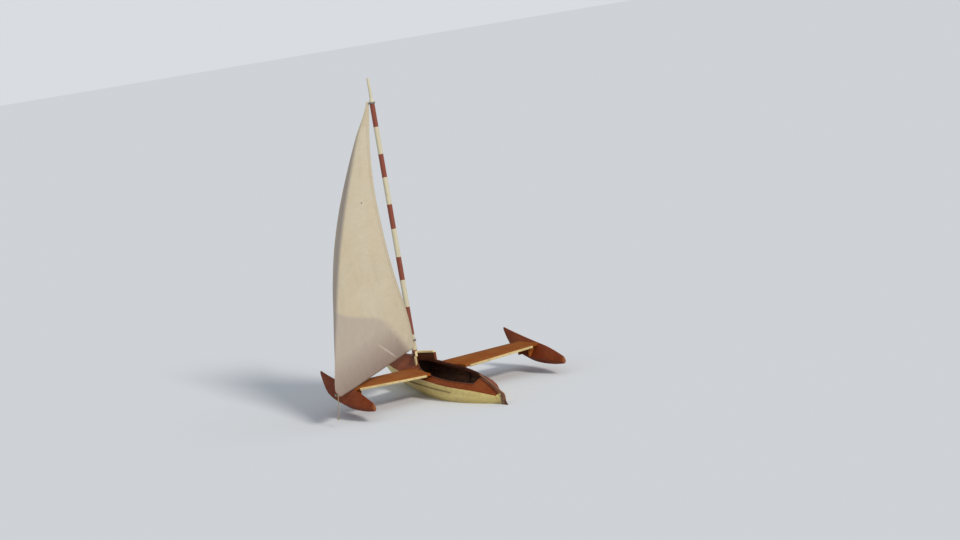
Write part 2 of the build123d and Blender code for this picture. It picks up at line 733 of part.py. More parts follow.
head_aft, head_fore = RUDDER_PIN_AT - HEAD_AFT, RUDDER_PIN_AT + HEAD_FORE
head = block(head_aft, head_fore, -HEAD_HALF, HEAD_HALF, HEAD_LOW, HEAD_TOP)
for low in (GUDGEON_LOW, GUDGEON_HIGH):
    head = head - block(RUDDER_PIN_AT - GUDGEON_ROOM, head_fore, -HEAD_HALF, HEAD_HALF, low - PLAY,
                        low + GUDGEON_TALL + PLAY)
slot = block(head_aft, RUDDER_PIN_AT - BLADE_FRONT, -BLADE / 2, BLADE / 2, HEAD_LOW, BLADE_TOP)
write("rudder_head", head - slot - pin_cylinder(PIN_R, HEAD_LOW, HEAD_TOP))
write("rudder_pin", pin_cylinder(PIN_R, HEAD_LOW, HEAD_TOP))

front, back = RUDDER_PIN_AT - BLADE_FRONT, RUDDER_PIN_AT - BLADE_BACK
blade_points = [
    (front, BLADE_TOP), (front, BLADE_LOW + BLADE_ROUND), (front - BLADE_ROUND, BLADE_LOW),
    (back + 1.5 * BLADE_ROUND, BLADE_LOW), (back, BLADE_LOW + 2 * BLADE_ROUND),
    (back + 0.6 * BLADE_ROUND, HEAD_LOW - 0.6 * BLADE_ROUND), (head_aft, BLADE_TOP),
]
blade_face = Face(Wire.make_polygon([Vector(x_at(s), 0, z) for s, z in blade_points], close=True))
write("rudder_blade", extrude(blade_face, BLADE / 2, dir=(0, 1, 0), both=True))

tiller_end, tiller_high = RUDDER_PIN_AT + TILLER_LONG, HEAD_TOP + TILLER_PITCH * TILLER_LONG
tiller_points = [
    (head_aft, HEAD_TOP), (head_fore, HEAD_TOP), (tiller_end, tiller_high),
    (tiller_end, tiller_high + TILLER), (head_aft, HEAD_TOP + TILLER),
]
tiller_face = Face(Wire.make_polygon([Vector(x_at(s), 0, z) for s, z in tiller_points], close=True))
write("tiller", extrude(tiller_face, TILLER / 2, dir=(0, 1, 0), both=True))
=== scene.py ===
"""Small home-built sailing trimaran dinghy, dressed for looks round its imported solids.

Metres. +X is forward, +Y is port, +Z is up, and the water's surface is at Z 0.
"""
import math
import random

import bmesh
import bpy
from mathutils import Matrix, Vector
from mathutils.bvhtree import BVHTree


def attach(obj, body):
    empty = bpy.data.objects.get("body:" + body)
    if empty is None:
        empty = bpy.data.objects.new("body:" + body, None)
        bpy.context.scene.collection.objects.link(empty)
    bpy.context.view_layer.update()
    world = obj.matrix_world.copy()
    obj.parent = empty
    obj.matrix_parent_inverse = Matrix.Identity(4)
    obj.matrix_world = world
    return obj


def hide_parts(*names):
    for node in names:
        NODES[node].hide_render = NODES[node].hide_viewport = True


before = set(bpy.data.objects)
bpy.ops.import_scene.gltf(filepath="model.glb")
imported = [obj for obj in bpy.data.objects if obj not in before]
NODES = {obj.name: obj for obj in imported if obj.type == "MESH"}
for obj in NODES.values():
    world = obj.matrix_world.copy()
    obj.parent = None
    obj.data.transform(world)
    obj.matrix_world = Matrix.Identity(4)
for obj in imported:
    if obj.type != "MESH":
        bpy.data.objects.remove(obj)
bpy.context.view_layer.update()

# Camera, tilted by the boat's heel in the photograph, so that the boat stands upright here
CAMERA_AT = Vector((-22.413, 10.255, 4.398))
CAMERA_RIGHT = Vector((-0.453246, -0.877002, -0.159484))
CAMERA_UP = Vector((0.037789, -0.197661, 0.979542))
LENS = 79.2

# Half the boat's length: the solids' places are measured from the stern, and X from the middle
HALF_LENGTH = 1.575

# Mast, as in the solids, the heights that the ramp of its painted bands runs between, where the
# bands meet, and how far the brush strayed there
MAST_X = 0.552
MAST_RAKE = 0.0115
MAST_LOW, MAST_HIGH = -0.1, 3.9
BAND_EDGES = [0.459, 0.644, 0.989, 1.315, 1.601, 1.937, 2.230, 2.562, 2.853, 3.178, 3.473]
BAND_STRAY = 0.010

# Sail, as in the solids: how far its two edges lie from the mast's axis, by equal shares of its
# height. Angles are in degrees, and camber is a share of the chord
TACK, HEAD, CLEW = 0.500, 3.490, 0.335
SAIL_EDGES = [
    (0.030, 2.020), (0.040, 1.709), (0.108, 1.445), (0.167, 1.236), (0.190, 1.027),
    (0.195, 0.803), (0.168, 0.563), (0.110, 0.320), (0.042, 0.075),
]
FOOT_ANGLE, TWIST = 52.0, 32.0
FOOT_CAMBER, CAMBER, CAMBER_FULL_AT = 0.02, 0.07, 0.3
TACK_ASIDE, ASIDE_UP_TO = 0.032, 0.3
FOOT_ROUND = 0.026

# Sail as cloth, and its grid of faces out and up
CLOTH = 0.0016
FACES_OUT, FACES_UP = 84, 150

# Arcs that round the sail's corners: height and distance out of the centre, radius, and the
# degrees where the arc starts and ends. The cuts that make an arc are this many degrees apart
CLEW_ARC = (0.425, 1.880, 0.090, -75, 30)
TACK_ARC = (0.552, 0.092, 0.060, -165, -105)
ARC_STEP = 15

# Leech of the sail, which curls away along its middle, and its grey band of painted shade
CURL_WIDE = 0.12
CURL_FROM, CURL_TO = 0.6, 3.4
CURL_AWAY = 0.5
CURL_SHADE_WIDE = 0.16

# Upper edges of the painted shade towards the clew: slope, height at the luff, and how softly each
# fades
SHADE_EDGES = [(1.735, -0.20, 0.15), (0.406, 0.355, 0.03)]

# Hems and corner patches of the sail, and the row of stitches inside their edge
HEM = 0.035
CLEW_PATCH, TACK_PATCH, HEAD_PATCH = 0.30, 0.24, 0.26
STITCHES_IN, STITCH_HALF = 0.005, 0.0011

# Crease and darned hole, in metres out from the luff and up from the foot
CREASE_AT = (0.560, 0.140, 0.0)
CREASE_TURN = math.radians(41.7)
CREASE_HALF, CREASE_FADE, CREASE_WIDE = 0.09, 0.21, 0.022
DARN_AT = (0.204, 1.853, 0.0)
DARN, DARN_FADE = 0.006, 0.013

# Clew rope, which hangs from the sail's lower corner, and its knots: the points of one, and the
# size of its lobes
CLEW_AT = Vector((-0.6393, 1.5508, 0.372))
ROPE = 0.010
ROPE_TOP_DOWN = 0.014
ROPE_END = 0.095
KNOT_POINTS = 24
KNOT_LOBE = 0.38 * ROPE

# Wings and their screws, along the white edge strip and in the board ahead of it
WING_AFT = 1.259 - HALF_LENGTH
WING_ROOT, WING_ROOT_TOP, WING_SLOPE = 0.220, 0.294, 0.046
SCREWS, SCREW_FROM, SCREW_SPACE = 9, 0.36, 0.092
SCREW_DOWN, SCREW_AHEAD = 0.025, 0.036

# Nails along the decks, the step and the number of looks that find a deck's edges, and the heads
# of screws and nails
NAIL_SPACE, NAIL_EDGE = 0.095, 0.014
LOOK_STEP, LOOKS = 0.002, 160
SCREW_RADIUS, NAIL_RADIUS = 0.005, 0.0028
HEAD_TALL, HEAD_PROUD = 0.0018, 0.0006

# Aft end of the floats
FLOAT_AFT = 0.703 - HALF_LENGTH

# Brush strokes, in millimetres along, across and up, and the grain of the wood
LENGTHWISE, CROSSWISE = (385, 10.5, 10.5), (10.5, 385, 10.5)
GRAIN = (250, 11.1, 11.1)

# Length of one wave of Blender's wave texture at a scale of 1
WAVE_LENGTH = math.pi / 10

# How far a face has to point inwards to be lined: 1 is straight in, and -1 straight out
LINED_FROM = -0.3

# Reach of the floor out from the middle
FLOOR_REACH = 400

# Sockets of a Mix node's colours: the one that shows where its factor is 0, and the other
UNDER, OVER = 6, 7


# Small tools

def colour(code):
    """Linear red, green, blue and alpha of an sRGB hex colour."""
    parts = [int(code[k:k + 2], 16) / 255 for k in (0, 2, 4)]
    return [c / 12.92 if c <= 0.04045 else ((c + 0.055) / 1.055) ** 2.4 for c in parts] + [1.0]


def add(tree, kind, links=None, **settings):
    """Shader node of this kind with its settings, and with its inputs joined or set.

    An input that is given a node takes the first of that node's outputs that is in use.
    """
    node = tree.nodes.new("ShaderNode" + kind)
    for name, value in settings.items():
        setattr(node, name, value)
    for socket, value in (links or {}).items():
        if isinstance(value, bpy.types.Node):
            value = next(output for output in value.outputs if output.enabled)
        if isinstance(value, bpy.types.NodeSocket):
            tree.links.new(value, node.inputs[socket])
        else:
            node.inputs[socket].default_value = value
    return node


def per_metre(*sizes):
    """Scale of a pattern, or one for each axis, from the sizes in millimetres of what it draws."""
    scales = [1000 / size for size in sizes]
    return scales if len(scales) > 1 else scales[0]


def new_material(name):
    """Material with an empty node tree."""
    material = bpy.data.materials.new(name)
    material.use_nodes = True
    tree = material.node_tree
    tree.nodes.clear()
    return material, tree


def new_object(name, mesh, body="boat"):
    """Object in the scene that rides on a body, or on none."""
    piece = bpy.data.objects.new(name, mesh)
    bpy.context.scene.collection.objects.link(piece)
    if body:
        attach(piece, body)
    return piece


def mesh_of(name, bm, material):
    """Finished mesh of one material from a bmesh."""
    mesh = bpy.data.meshes.new(name)
    bm.to_mesh(mesh)
    bm.free()
    mesh.materials.append(material)
    return mesh


# Materials

def brushed_paint(name, main, faded, dirt, stroke, chipped=0.7, matt=0.0, darker_below=None, paler_aft_of=None):
    """Oil paint brushed on plywood: fine strokes, sun-faded patches, and chips that show the dirt.

    The strokes are a centimetre wide and run along the long side of the board. Weather has made
    the paint more or less matt. Below a given height it is stained by the water. Aft of a given
    place it turns paler: partly paint worn by knocks and launching, partly a painted highlight
    where light falls on the aft end.
    """
    material, tree = new_material(name)
    place = add(tree, "TexCoord").outputs["Object"]
    spot = add(tree, "SeparateXYZ", {"Vector": place}).outputs
    along = add(tree, "Mapping", {"Vector": place, "Scale": per_metre(*stroke)})
    strokes = add(tree, "TexNoise", {
        "Vector": along, "Scale": 1.0, "Detail": 4.0, "Roughness": 0.6,
    })
    patches = add(tree, "TexNoise", {
        "Vector": place, "Scale": per_metre(333), "Detail": 5.0, "Roughness": 0.62,
    })
    flecks = add(tree, "TexNoise", {
        "Vector": place, "Scale": per_metre(26.3), "Detail": 6.0, "Roughness": 0.72,
    })
    fade = add(tree, "MapRange", {"Value": patches, "From Min": 0.38, "From Max": 0.66})
    tone = add(tree, "Mix", {
        0: fade, UNDER: colour(main), OVER: colour(faded),
    }, data_type="RGBA")
    streaks = add(tree, "MapRange", {
        "Value": strokes, "From Min": 0.46, "From Max": 0.78, "To Max": 0.42,
    })
    chips = add(tree, "MapRange", {
        "Value": flecks, "From Min": chipped, "From Max": chipped + 0.04, "To Max": 0.75,
    })
    coats = [(streaks, dirt), (chips, dirt)]
    if darker_below is not None:
        edge = add(tree, "Math", {0: patches, 1: 0.12, 2: spot["Z"]}, operation="MULTIPLY_ADD")
        stain = add(tree, "MapRange", {
            "Value": edge, "From Min": darker_below, "From Max": darker_below + 0.09, "To Min": 0.62, "To Max": 0.0,
        })
        coats.append((stain, dirt))
    if paler_aft_of is not None:
        # Paler towards the aft end: partly paint worn by knocks and launching, partly a painted
        # highlight for the aft end that faces the light
        edge = add(tree, "Math", {0: patches, 1: 0.04, 2: spot["X"]}, operation="MULTIPLY_ADD")
        paler_share = add(tree, "MapRange", {
            "Value": edge, "From Min": paler_aft_of, "From Max": paler_aft_of + 0.028,
            "To Min": 0.8, "To Max": 0.0,
        })
        coats.append((paler_share, "8A5534"))
    for share, code in coats:
        tone = add(tree, "Mix", {0: share, UNDER: tone, OVER: colour(code)}, data_type="RGBA")
    gloss = add(tree, "MapRange", {
        "Value": strokes, "From Min": 0.3, "From Max": 0.7,
        "To Min": 0.34 + matt, "To Max": 0.52 + matt,
    })
    relief = add(tree, "Math", {0: chips, 1: -0.5, 2: strokes}, operation="MULTIPLY_ADD")
    bump = add(tree, "Bump", {"Height": relief, "Distance": 0.0007})
    surface = add(tree, "BsdfPrincipled", {
        "Base Color": tone, "Roughness": gloss, "Normal": bump,
        "Specular IOR Level": 0.22 - 0.4 * matt,
    })
    add(tree, "OutputMaterial", {"Surface": surface})
    return material


def banded_paint():
    """Pine mast under white and red enamel: bands with uneven brushed edges, and long scuffs."""
    material, tree = new_material("mast_band_enamel")
    place = add(tree, "TexCoord").outputs["Object"]
    high = add(tree, "SeparateXYZ", {"Vector": place}).outputs["Z"]
    uneven = add(tree, "TexNoise", {"Vector": place, "Scale": per_metre(25)})
    edge = add(tree, "Math", {0: uneven, 1: BAND_STRAY, 2: high}, operation="MULTIPLY_ADD")
    share = add(tree, "MapRange", {
        "Value": edge,
        "From Min": MAST_LOW + BAND_STRAY / 2, "From Max": MAST_HIGH + BAND_STRAY / 2,
    })
    bands = add(tree, "ValToRGB", {"Fac": share})
    bands.color_ramp.interpolation = "CONSTANT"
    red, white = colour("7F3923"), colour("CAC2A6")
    shares = [(height - MAST_LOW) / (MAST_HIGH - MAST_LOW) for height in BAND_EDGES]
    stops = bands.color_ramp.elements
    stops[0].position, stops[0].color = 0.0, red
    stops[1].position, stops[1].color = shares[0], white
    for index, position in enumerate(shares[1:]):
        stop = stops.new(position)
        stop.color = red if index % 2 == 0 else white
    upright = add(tree, "Mapping", {"Vector": place, "Scale": per_metre(11.1, 11.1, 200)})
    grain = add(tree, "TexNoise", {"Vector": upright, "Scale": 1.0, "Detail": 5.0})
    long_flecks = add(tree, "Mapping", {"Vector": place, "Scale": per_metre(16.7, 16.7, 83)})
    scuffs = add(tree, "TexNoise", {
        "Vector": long_flecks, "Scale": 1.0, "Detail": 5.0, "Roughness": 0.7,
    })
    shown = add(tree, "MapRange", {
        "Value": grain, "From Min": 0.45, "From Max": 0.8, "To Max": 0.25,
    })
    paler_share = add(tree, "MapRange", {
        "Value": scuffs, "From Min": 0.62, "From Max": 0.68, "To Max": 0.6,
    })
    tone = bands
    for share, code in ((shown, "6B5A44"), (paler_share, "A88F69")):
        tone = add(tree, "Mix", {0: share, UNDER: tone, OVER: colour(code)}, data_type="RGBA")
    gloss = add(tree, "MapRange", {
        "Value": grain, "From Min": 0.3, "From Max": 0.7, "To Min": 0.36, "To Max": 0.56,
    })
    bump = add(tree, "Bump", {"Height": grain, "Distance": 0.0006})
    surface = add(tree, "BsdfPrincipled", {
        "Base Color": tone, "Roughness": gloss, "Normal": bump, "IOR": 1.5,
    })
    add(tree, "OutputMaterial", {"Surface": surface})
    return material


def grained_wood(name, light, dark, gloss_low, board=None, pitch=0.0):
    """Wood under oil or varnish: dark growth lines a centimetre apart and handling marks.

    Where a board's width is given, dark seams part the wood into boards side by side. The grain
    rises forward by the pitch in degrees.
    """
    material, tree = new_material(name)
    place = add(tree, "TexCoord").outputs["Object"]
    level = add(tree, "Mapping", {"Vector": place, "Rotation": (0.0, math.radians(pitch), 0.0)})
    along = add(tree, "Mapping", {"Vector": level, "Scale": per_metre(*GRAIN)})
    grain = add(tree, "TexNoise", {
        "Vector": along, "Scale": 1.0, "Detail": 7.0, "Roughness": 0.62,
    })
    clouds = add(tree, "TexNoise", {"Vector": place, "Scale": per_metre(167), "Detail": 3.0})
    lines = add(tree, "MapRange", {"Value": grain, "From Min": 0.38, "From Max": 0.64})
    marks = add(tree, "MapRange", {
        "Value": clouds, "From Min": 0.45, "From Max": 0.75, "To Max": 0.5,
    })
    tone = add(tree, "Mix", {
        0: lines, UNDER: colour(light), OVER: colour(dark),
    }, data_type="RGBA")
    tone = add(tree, "Mix", {0: marks, UNDER: tone, OVER: colour(dark)}, data_type="RGBA")
    gloss = add(tree, "MapRange", {
        "Value": grain, "From Min": 0.3, "From Max": 0.7,
        "To Min": gloss_low, "To Max": gloss_low + 0.2,
    })
    bump = add(tree, "Bump", {"Height": grain, "Distance": 0.0006})
    if board:
        aside = add(tree, "SeparateXYZ", {"Vector": place}).outputs["Y"]
        apart = add(tree, "Math", {0: aside, 1: board}, operation="PINGPONG")
        seam = add(tree, "MapRange", {
            "Value": apart, "From Min": 0.0012, "From Max": 0.0028, "To Min": 1.0, "To Max": 0.0,
        })
        tone = add(tree, "Mix", {0: seam, UNDER: tone, OVER: colour("0C0705")}, data_type="RGBA")
        bump = add(tree, "Bump", {"Height": seam, "Distance": -0.003, "Normal": bump})
    surface = add(tree, "BsdfPrincipled", {
        "Base Color": tone, "Roughness": gloss, "Normal": bump, "IOR": 1.5,
    })
    add(tree, "OutputMaterial", {"Surface": surface})
    return material


def galvanised_steel():
    """Hot-dipped steel fittings: grey zinc bloom with brown rust where it has worn through."""
    material, tree = new_material("galvanised_steel")
    place = add(tree, "TexCoord").outputs["Object"]
    bloom = add(tree, "TexNoise", {"Vector": place, "Scale": per_metre(6.25), "Detail": 4.0})
    rust = add(tree, "TexNoise", {
        "Vector": place, "Scale": per_metre(18.2), "Detail": 6.0, "Roughness": 0.7,
    })
    rusty = add(tree, "MapRange", {"Value": rust, "From Min": 0.56, "From Max": 0.64})
    tone = add(tree, "Mix", {
        0: bloom, UNDER: colour("9A9993"), OVER: colour("6B6963"),
    }, data_type="RGBA")
    tone = add(tree, "Mix", {0: rusty, UNDER: tone, OVER: colour("6A3F24")}, data_type="RGBA")
    bare = add(tree, "Math", {0: 1.0, 1: rusty}, operation="SUBTRACT")
    gloss = add(tree, "MapRange", {"Value": rusty, "To Min": 0.42, "To Max": 0.8})
    bump = add(tree, "Bump", {"Height": bloom, "Distance": 0.0002})
    surface = add(tree, "BsdfPrincipled", {
        "Base Color": tone, "Metallic": bare, "Roughness": gloss, "Normal": bump,
    })
    add(tree, "OutputMaterial", {"Surface": surface})
    return material


def laid_rope():
    """Three-strand hemp rope: slanting strands a rope's width apart, greyed, with fuzzy fibres."""
    material, tree = new_material("laid_hemp_rope")
    place = add(tree, "TexCoord").outputs["Object"]
    slant = add(tree, "Mapping", {"Vector": place, "Rotation": (0.0, math.radians(40), 0.0)})
    strands = add(tree, "TexWave", {
        "Vector": slant, "Scale": WAVE_LENGTH / ROPE, "Distortion": 0.6,
    }, bands_direction="Z").outputs["Fac"]
    fibres = add(tree, "TexNoise", {"Vector": place, "Scale": per_metre(1.1), "Detail": 3.0})
    tone = add(tree, "Mix", {
        0: strands, UNDER: colour("6E5C46"), OVER: colour("B9A684"),
    }, data_type="RGBA")
    tone = add(tree, "Mix", {
        0: 0.25, UNDER: tone, OVER: fibres.outputs["Color"],
    }, data_type="RGBA", blend_type="OVERLAY")
    relief = add(tree, "Math", {0: fibres, 1: 0.3, 2: strands}, operation="MULTIPLY_ADD")
    bump = add(tree, "Bump", {"Height": relief, "Distance": 0.0012})
    surface = add(tree, "BsdfPrincipled", {"Base Color": tone, "Roughness": 0.9, "Normal": bump})
    add(tree, "OutputMaterial", {"Surface": surface})
    return material


def sailcloth():
    """Unbleached cotton sailcloth: plain weave, hems and corner patches, with painted shade towards
    the clew.

    The map "cloth" holds metres out from the luff and up from the foot, and "rim" holds metres in
    from the leech and down from the head.
    """
    material, tree = new_material("cotton_sailcloth")
    cloth = add(tree, "UVMap", uv_map="cloth")
    rim = add(tree, "UVMap", uv_map="rim")
    in_cloth = add(tree, "SeparateXYZ", {"Vector": cloth}).outputs
    in_rim = add(tree, "SeparateXYZ", {"Vector": rim}).outputs
    from_luff, from_foot = in_cloth["X"], in_cloth["Y"]
    from_leech, from_head = in_rim["X"], in_rim["Y"]

    # Cloudy yellowing, and water marks that run down the cloth
    clouds = add(tree, "TexNoise", {
        "Vector": cloth, "Scale": per_metre(455), "Detail": 5.0, "Roughness": 0.55,
    })
    down = add(tree, "Mapping", {"Vector": cloth, "Scale": per_metre(111, 714, 1000)})
    runs = add(tree, "TexNoise", {"Vector": down, "Scale": 1.0, "Detail": 4.0})
    yellowed = add(tree, "MapRange", {"Value": clouds, "From Min": 0.36, "From Max": 0.66})
    marked = add(tree, "MapRange", {
        "Value": runs, "From Min": 0.52, "From Max": 0.8, "To Max": 0.22,
    })
    tone = add(tree, "Mix", {
        0: yellowed, UNDER: colour("CFC5AF"), OVER: colour("CEC1A6"),
    }, data_type="RGBA")
    tone = add(tree, "Mix", {0: marked, UNDER: tone, OVER: colour("A8977C")}, data_type="RGBA")

    # Painted shade towards the clew, greyer and pinker, below two lines: one rises steeply from the
    # foot, and one slants on from there. It is darker towards the foot
    wander = add(tree, "Math", {0: clouds, 1: 0.10, 2: from_foot}, operation="MULTIPLY_ADD")
    clew_shade = 0.8
    for slope, start, soft in SHADE_EDGES:
        edge = add(tree, "Math", {0: from_luff, 1: -slope, 2: wander}, operation="MULTIPLY_ADD")
        below = add(tree, "MapRange", {
            "Value": edge, "From Min": start - soft, "From Max": start + soft,
            "To Min": 1.0, "To Max": 0.0,
        }, interpolation_type="SMOOTHSTEP")
        clew_shade = add(tree, "Math", {0: clew_shade, 1: below}, operation="MULTIPLY")
    darker_below = add(tree, "MapRange", {"Value": from_foot, "From Max": 0.38})
    clew_shade_tone = add(tree, "Mix", {
        0: darker_below, UNDER: colour("846C69"), OVER: colour("B9ADA1"),
    }, data_type="RGBA")
    tone = add(tree, "Mix", {0: clew_shade, UNDER: tone, OVER: clew_shade_tone}, data_type="RGBA")

    # Painted shade: a grey band where the leech curls away from the light
    half_wave = math.pi / (CURL_TO - CURL_FROM)
    down_leech = half_wave * (HEAD - CLEW) / (HEAD - TACK)
    wave = add(tree, "Math", {
        0: from_head, 1: down_leech, 2: half_wave * (CURL_TO - HEAD),
    }, operation="MULTIPLY_ADD")
    wave = add(tree, "Math", {0: wave}, operation="SINE")
    curl_shade_edge = add(tree, "Math", {0: wave, 1: -CURL_SHADE_WIDE, 2: from_leech}, operation="MULTIPLY_ADD")
    curled = add(tree, "MapRange", {
        "Value": curl_shade_edge, "From Min": -0.07, "From Max": 0.025, "To Min": 0.86, "To Max": 0.0,
    }, interpolation_type="SMOOTHSTEP")
    tone = add(tree, "Mix", {0: curled, UNDER: tone, OVER: colour("797372")}, data_type="RGBA")

    # Sharp crease that runs up from the foot, paler along its ridge: painted highlight
    crease = add(tree, "Mapping", {
        "Vector": cloth, "Location": CREASE_AT, "Rotation": (0, 0, CREASE_TURN),
    }, vector_type="TEXTURE")
    crease = add(tree, "SeparateXYZ", {"Vector": crease}).outputs
    ridge = 1.0
    for axis, near, far in (("X", CREASE_HALF, CREASE_FADE), ("Y", 0.0, CREASE_WIDE)):
        apart = add(tree, "Math", {0: crease[axis]}, operation="ABSOLUTE")
        close = add(tree, "MapRange", {
            "Value": apart, "From Min": near, "From Max": far, "To Min": 1.0, "To Max": 0.0,
        }, interpolation_type="SMOOTHSTEP")
        ridge = add(tree, "Math", {0: ridge, 1: close}, operation="MULTIPLY")
    crease_highlight = add(tree, "Math", {0: ridge, 1: 0.55}, operation="MULTIPLY")
    tone = add(tree, "Mix", {0: crease_highlight, UNDER: tone, OVER: colour("E0D5C0")}, data_type="RGBA")

    # Darned hole above the middle
    apart = add(tree, "VectorMath", {0: cloth, 1: DARN_AT}, operation="DISTANCE")
    darned = add(tree, "MapRange", {
        "Value": apart, "From Min": DARN, "From Max": DARN_FADE, "To Min": 0.8, "To Max": 0.0,
    })
    tone = add(tree, "Mix", {0: darned, UNDER: tone, OVER: colour("4E443A")}, data_type="RGBA")

    # Doubled cloth along the edges and at the three corners, with its row of stitches
    doubled = 1.0
    for first, second, wide in (
        (from_luff, 0.0, HEM), (from_leech, 0.0, HEM), (from_foot, 0.0, HEM),
        (from_leech, from_foot, CLEW_PATCH), (from_luff, from_foot, TACK_PATCH),
        (from_head, 0.0, HEAD_PATCH),
    ):
        margin = add(tree, "Math", {0: first, 1: second}, operation="ADD")
        margin = add(tree, "Math", {0: margin, 1: wide}, operation="SUBTRACT")
        doubled = add(tree, "Math", {0: doubled, 1: margin}, operation="MINIMUM")
    inside = add(tree, "MapRange", {
        "Value": doubled, "From Min": -0.001, "From Max": 0.001, "To Min": 1.0, "To Max": 0.0,
    })
    row = add(tree, "Math", {
        0: doubled, 1: -STITCHES_IN, 2: STITCH_HALF,
    }, operation="COMPARE")
    thicker = add(tree, "Math", {0: inside, 1: 0.14}, operation="MULTIPLY")
    stitched = add(tree, "Math", {0: row, 1: 0.4}, operation="MULTIPLY")
    for share, code in ((thicker, "B3A48A"), (stitched, "6F604A")):
        tone = add(tree, "Mix", {0: share, UNDER: tone, OVER: colour(code)}, data_type="RGBA")

    # Plain weave, and the step where the cloth is doubled. The yarns are half a millimetre apart
    # in life, too fine to show, and are drawn coarser
    yarns = WAVE_LENGTH * per_metre(1.75)
    warp, weft = [
        add(tree, "TexWave", {"Vector": cloth, "Scale": yarns}, bands_direction=way).outputs["Fac"]
        for way in ("X", "Y")
    ]
    weave = add(tree, "Math", {0: warp, 1: weft}, operation="MAXIMUM")
    puckers = add(tree, "TexNoise", {"Vector": cloth, "Scale": per_metre(143), "Detail": 4.0})
    bump = add(tree, "Bump", {"Height": weave, "Distance": 0.0002})
    for height, distance in ((puckers, 0.014), (ridge, 0.006), (inside, 0.0008)):
        bump = add(tree, "Bump", {"Height": height, "Distance": distance, "Normal": bump})
    front = add(tree, "BsdfPrincipled", {"Base Color": tone, "Roughness": 0.85, "Normal": bump})
    through = add(tree, "BsdfTranslucent", {"Color": tone, "Normal": bump})
    lit = add(tree, "MixShader", {0: 0.2, 1: front, 2: through})
    add(tree, "OutputMaterial", {"Surface": lit})
    return material


HULL_PAINT = brushed_paint("cream_hull_enamel", "EDD88F", "DBC47A", "7D6A38", LENGTHWISE,
                           darker_below=0.03)
DECK_PAINT = brushed_paint("rust_deck_enamel", "783512", "85431C", "3E1B0B", LENGTHWISE,
                           matt=0.2)
WING_PAINT = brushed_paint("rust_wing_enamel", "8A4A1C", "965C2E", "4A2410", CROSSWISE,
                           matt=0.45)
FLOAT_PAINT = brushed_paint("rust_float_enamel", "743012", "823F1C", "3C190A", LENGTHWISE,
                            matt=0.2, paler_aft_of=FLOAT_AFT + 0.022)
EDGE_PAINT = brushed_paint("off_white_edge_enamel", "D8C38F", "BFAA78", "6E5C3C", CROSSWISE,
                           chipped=0.66)
# Splash caps: very pale off-white, partly their own paint and partly a painted highlight for the
# sun's glint
RAIL_PAINT_AND_GLINT = brushed_paint("off_white_rail_enamel_and_glint", "F0DDB0", "D9C595", "7A6745", LENGTHWISE,
                           chipped=0.66)
MAST_PAINT = banded_paint()
VARNISH = grained_wood("varnished_pine", "8A5530", "532F1B", 0.28)
TILLER_WOOD = grained_wood("varnished_tiller_ash", "8E5C36", "5F3A22", 0.34, pitch=21.06)
BILGE = grained_wood("oiled_inside_planking", "6B4630", "382115", 0.6)
BOARDS = grained_wood("oiled_floorboards", "74503A", "3E281A", 0.6, board=0.055)
# Dark red-brown boards that line the coamings' inner faces: painted shade
SHADED_RED_LINING = grained_wood("red_brown_boards_painted_shade", "6A3316", "3D1B0B", 0.6)
RUBBED = grained_wood("weathered_rubbing_strip", "AA9562", "7C6A42", 0.6)
STEEL = galvanised_steel()
HEMP = laid_rope()


# Finishes of the solids that stay in view

def paint(material, *names, soft_edge=0.0012, inside=None, lining=BILGE):
    """Gives solids their finish and a small rounded edge.

    Where a direction towards the inside is given, the lining covers every face but those that
    look clearly away from it.
    """
    for name in names:
        node = NODES[name]
        mesh = node.data
        mesh.materials.clear()
        mesh.materials.append(material)
        if inside:
            mesh.materials.append(lining)
        weld = node.modifiers.new("weld", "WELD")
        weld.merge_threshold = 0.00002
        bevel = node.modifiers.new("edge", "BEVEL")
        bevel.width = soft_edge
        bevel.segments = 2
        bevel.limit_method = "ANGLE"
        bevel.angle_limit = math.radians(35)
        bevel.harden_normals = True
        for face in mesh.polygons:
            face.use_smooth = True
            if inside:
                face.material_index = int(face.normal.dot(inside) > LINED_FROM)


def both(*stems):
    """Names of the solids on both sides."""
    return [f"{stem}_{side}" for stem in stems for side in ("port", "starboard")]


for side, sign in (("port", 1), ("starboard", -1)):
    paint(HULL_PAINT, f"top_strake_{side}", f"bilge_strake_{side}",
          inside=Vector((0, -sign, 0.3)))
    paint(HULL_PAINT, f"bottom_plank_{side}", inside=Vector((0, -0.3 * sign, 1)))
    paint(DECK_PAINT, f"foredeck_{side}", f"side_deck_{side}", f"aft_deck_{side}",
          inside=Vector((0, -0.5 * sign, -1)))
    # The coamings' inner faces take the dark red-brown lining as painted shade
    paint(DECK_PAINT, f"coaming_{side}", inside=Vector((0, -sign, 0)), lining=SHADED_RED_LINING)
paint(HULL_PAINT, "keel", "stem", "sternpost")
paint(FLOAT_PAINT, *both("float_deck", "float_hull"))
paint(WING_PAINT, *both("wing", "wing_brackets", "wing_bearers"))
paint(EDGE_PAINT, *both("wing_edge"), "splash_post_port", soft_edge=0.002)
# Splash caps, very pale: partly off-white paint, partly painted highlight
paint(RAIL_PAINT_AND_GLINT, *both("splash_cap"), soft_edge=0.004)
paint(MAST_PAINT, "mast")
# The starboard splash post takes the dark deck paint, unlike the off-white port post: painted shade
paint(DECK_PAINT, "splash_post_starboard")
paint(VARNISH, "mast_collar", "rudder_head", soft_edge=0.002)
paint(TILLER_WOOD, "tiller", soft_edge=0.003)
paint(BILGE, "cockpit_frame", "aft_bulkhead", "fore_bulkhead", "mast_step", "rudder_blade")
paint(BOARDS, "cockpit_floor", "seat")
paint(RUBBED, "rubbing_strips")
paint(STEEL, "gudgeons", "rudder_pin", "head_ring", "tack_ring", "clew_ring", soft_edge=0.0006)


# Sail

def mast_axis(z):
    """Point of the mast's axis at a height."""
    return Vector((MAST_X + MAST_RAKE * z, 0.0, z))


